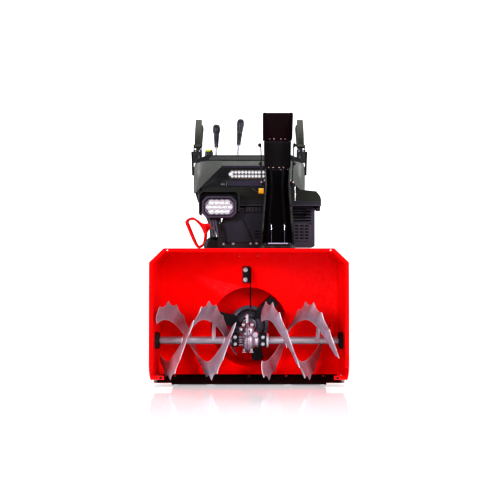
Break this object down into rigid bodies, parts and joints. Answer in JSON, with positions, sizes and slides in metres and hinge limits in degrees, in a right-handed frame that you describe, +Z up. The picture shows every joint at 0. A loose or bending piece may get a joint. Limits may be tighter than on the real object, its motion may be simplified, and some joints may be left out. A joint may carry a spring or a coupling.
{
  "type": "snow blower",
  "caption": "Walk-behind petrol snow blower with a toothed auger in a box intake, an impeller, a swivelling chute, a work lamp, a console, handle grips and drive wheels.",
  "frame": {"origin": "on the ground under the middle of the bounding box", "axes": "+X to the right seen from the front, +Y towards the operator, +Z up"},
  "size_m": [0.756, 1.3137, 1.256],
  "materials": {
    "red_paint": "gloss",
    "black_paint": "satin",
    "black_plastic": "satin",
    "cover_plastic": "satin",
    "galvanised": "spangled satin",
    "zinc": "bright",
    "cast": "cast satin",
    "belt_rubber": "matte",
    "tyre_rubber": "matte",
    "grip_rubber": "soft satin",
    "lens": "clear gloss",
    "red_plastic": "gloss",
    "knob_plastic": "satin",
    "runner_plastic": "satin"
  },
  "bodies": {
    "machine": {"auger_housing": "red_paint", "impeller_housing": "red_paint", "scraper_bar": "black_paint", "gearbox_strut": "black_paint", "auger_bearing_left": "black_plastic", "auger_bearing_right": "black_plastic", "gearbox_case_left": "cast", "gearbox_case_right": "cast", "tractor_frame": "black_paint", "belt_cover": "cover_plastic", "engine_block": "cast", "engine_hood": "black_plastic", "muffler_guard": "cover_plastic", "recoil_housing": "black_plastic", "starter_motor": "black_paint", "fuel_tank": "black_plastic", "handlebar": "black_paint", "dash_console": "cover_plastic", "dash_light_lens": "lens", "grip_left": "grip_rubber", "grip_right": "grip_rubber", "lamp_bracket": "black_paint", "auger_belt": "belt_rubber", "drive_cable": "belt_rubber", "auger_cable": "belt_rubber", "chute_collar": "black_plastic", "skid_shoe_left": "runner_plastic", "skid_shoe_right": "runner_plastic"},
    "auger": {"auger_shaft": "zinc", "auger_flight_left": "galvanised", "auger_flight_right": "galvanised", "worm_wheel": "cast"},
    "impeller_assembly": {"impeller": "black_paint", "impeller_shaft": "zinc", "auger_pulley": "zinc"},
    "crankshaft": {"crank_pulley": "zinc"},
    "drive_disc_body": {"drive_disc": "cast"},
    "friction_wheel_body": {"friction_wheel": "belt_rubber"},
    "wheel_left": {"rim_left": "black_paint", "tyre_left": "tyre_rubber"},
    "wheel_right": {"rim_right": "black_paint", "tyre_right": "tyre_rubber"},
    "chute_body": {"chute": "black_paint", "chute_guard": "zinc", "deflector_cable": "belt_rubber"},
    "lower_deflector": {"deflector_lower": "black_plastic"},
    "upper_deflector": {"deflector_upper": "black_plastic"},
    "link_pair": {"deflector_links": "black_paint"},
    "lamp": {"lamp_housing": "black_plastic", "lamp_lens": "lens"},
    "shift": {"shift_lever": "black_plastic"},
    "chute_joystick": {"joystick": "black_plastic"},
    "throttle": {"throttle_knob": "knob_plastic"},
    "choke": {"choke_knob": "black_plastic"},
    "drive_lever": {"drive_clutch_lever": "black_plastic"},
    "auger_lever": {"auger_clutch_lever": "black_plastic"},
    "trigger_left": {"steering_trigger_left": "black_paint"},
    "trigger_right": {"steering_trigger_right": "black_paint"},
    "starter_handle": {"recoil_handle": "red_plastic"},
    "tank_cap": {"fuel_cap": "black_plastic"}
  },
  "joints": [
    {"name": "auger_spin", "type": "hinge", "parent": "machine", "child": "auger", "pos_m": [0, -0.497, 0.176], "axis": [1, 0, 0], "continuous": true},
    {"name": "impeller_spin", "type": "hinge", "parent": "machine", "child": "impeller_assembly", "pos_m": [0, -0.257, 0.217], "axis": [0, 1, 0], "continuous": true},
    {"name": "crank_spin", "type": "hinge", "parent": "machine", "child": "crankshaft", "pos_m": [0, -0.149, 0.6], "axis": [0, 1, 0], "continuous": true},
    {"name": "drive_disc_spin", "type": "hinge", "parent": "machine", "child": "drive_disc_body", "pos_m": [0, -0.107, 0.33], "axis": [0, 1, 0], "continuous": true},
    {"name": "friction_wheel_spin", "type": "hinge", "parent": "machine", "child": "friction_wheel_body", "pos_m": [0, -0.023, 0.33], "axis": [1, 0, 0], "continuous": true},
    {"name": "wheel_left_roll", "type": "hinge", "parent": "machine", "child": "wheel_left", "pos_m": [-0.27, 0.123, 0.203], "axis": [1, 0, 0], "continuous": true},
    {"name": "wheel_right_roll", "type": "hinge", "parent": "machine", "child": "wheel_right", "pos_m": [0.27, 0.123, 0.203], "axis": [1, 0, 0], "continuous": true},
    {"name": "chute_turn", "type": "hinge", "parent": "machine", "child": "chute_body", "pos_m": [0.12, -0.257, 0.533], "axis": [0, 0, 1], "range_deg": [-100, 100]},
    {"name": "deflector_tilt", "type": "hinge", "parent": "chute_body", "child": "lower_deflector", "pos_m": [0.12, -0.214, 0.883], "axis": [1, 0, 0], "range_deg": [0, 35]},
    {"name": "upper_deflector_tilt", "type": "hinge", "parent": "lower_deflector", "child": "upper_deflector", "pos_m": [0.12, -0.241, 0.998], "axis": [1, 0, 0], "range_deg": [0, 30]},
    {"name": "deflector_link_swing", "type": "hinge", "parent": "chute_body", "child": "link_pair", "pos_m": [0.12, -0.257, 0.822], "axis": [1, 0, 0], "range_deg": [0, 28]},
    {"name": "lamp_tilt", "type": "hinge", "parent": "machine", "child": "lamp", "pos_m": [-0.129, -0.202, 0.719], "axis": [1, 0, 0], "range_deg": [-15, 15]},
    {"name": "shift_lever_swing", "type": "hinge", "parent": "machine", "child": "shift", "pos_m": [-0.17, 0.348, 0.96], "axis": [1, 0, 0], "range_deg": [-18, 18]},
    {"name": "joystick_swing", "type": "hinge", "parent": "machine", "child": "chute_joystick", "pos_m": [-0.064, 0.348, 0.985], "axis": [0, 1, 0], "range_deg": [-12, 12]},
    {"name": "throttle_turn", "type": "hinge", "parent": "machine", "child": "throttle", "pos_m": [-0.208, 0.343, 1.03], "axis": [0, 0, 1], "range_deg": [-60, 60]},
    {"name": "choke_turn", "type": "hinge", "parent": "machine", "child": "choke", "pos_m": [0.15, 0.083, 0.52], "axis": [1, 0, 0], "range_deg": [0, 90]},
    {"name": "drive_lever_squeeze", "type": "hinge", "parent": "machine", "child": "drive_lever", "pos_m": [-0.275, 0.455, 1.096], "axis": [-1, 0, 0], "range_deg": [0, 14], "stiffness_Nm_per_rad": 1, "springref_deg": -17.19},
    {"name": "auger_lever_squeeze", "type": "hinge", "parent": "machine", "child": "auger_lever", "pos_m": [0.275, 0.455, 1.096], "axis": [-1, 0, 0], "range_deg": [0, 14], "stiffness_Nm_per_rad": 1, "springref_deg": -17.19},
    {"name": "trigger_left_squeeze", "type": "hinge", "parent": "machine", "child": "trigger_left", "pos_m": [-0.304, 0.463, 1.062], "axis": [1, 0, 0], "range_deg": [0, 24], "stiffness_Nm_per_rad": 0.5, "springref_deg": -17.19},
    {"name": "trigger_right_squeeze", "type": "hinge", "parent": "machine", "child": "trigger_right", "pos_m": [0.304, 0.463, 1.062], "axis": [1, 0, 0], "range_deg": [0, 24], "stiffness_Nm_per_rad": 0.5, "springref_deg": -17.19},
    {"name": "starter_pull", "type": "slide", "parent": "machine", "child": "starter_handle", "axis": [-1, 0, 0], "range_m": [0, 0.18], "stiffness_N_per_m": 40, "springref_m": -0.1},
    {"name": "tank_cap_lift", "type": "slide", "parent": "machine", "child": "tank_cap", "axis": [0, 0, 1], "range_m": [0, 0.05]}
  ],
  "couplings": [
    {"joint": "impeller_spin", "follows": "auger_spin", "ratio": -10},
    {"joint": "joystick_swing", "follows": "chute_turn", "ratio": 0.1},
    {"joint": "upper_deflector_tilt", "follows": "deflector_tilt", "ratio": 0.8},
    {"joint": "deflector_link_swing", "follows": "deflector_tilt", "ratio": 0.75}
  ]
}
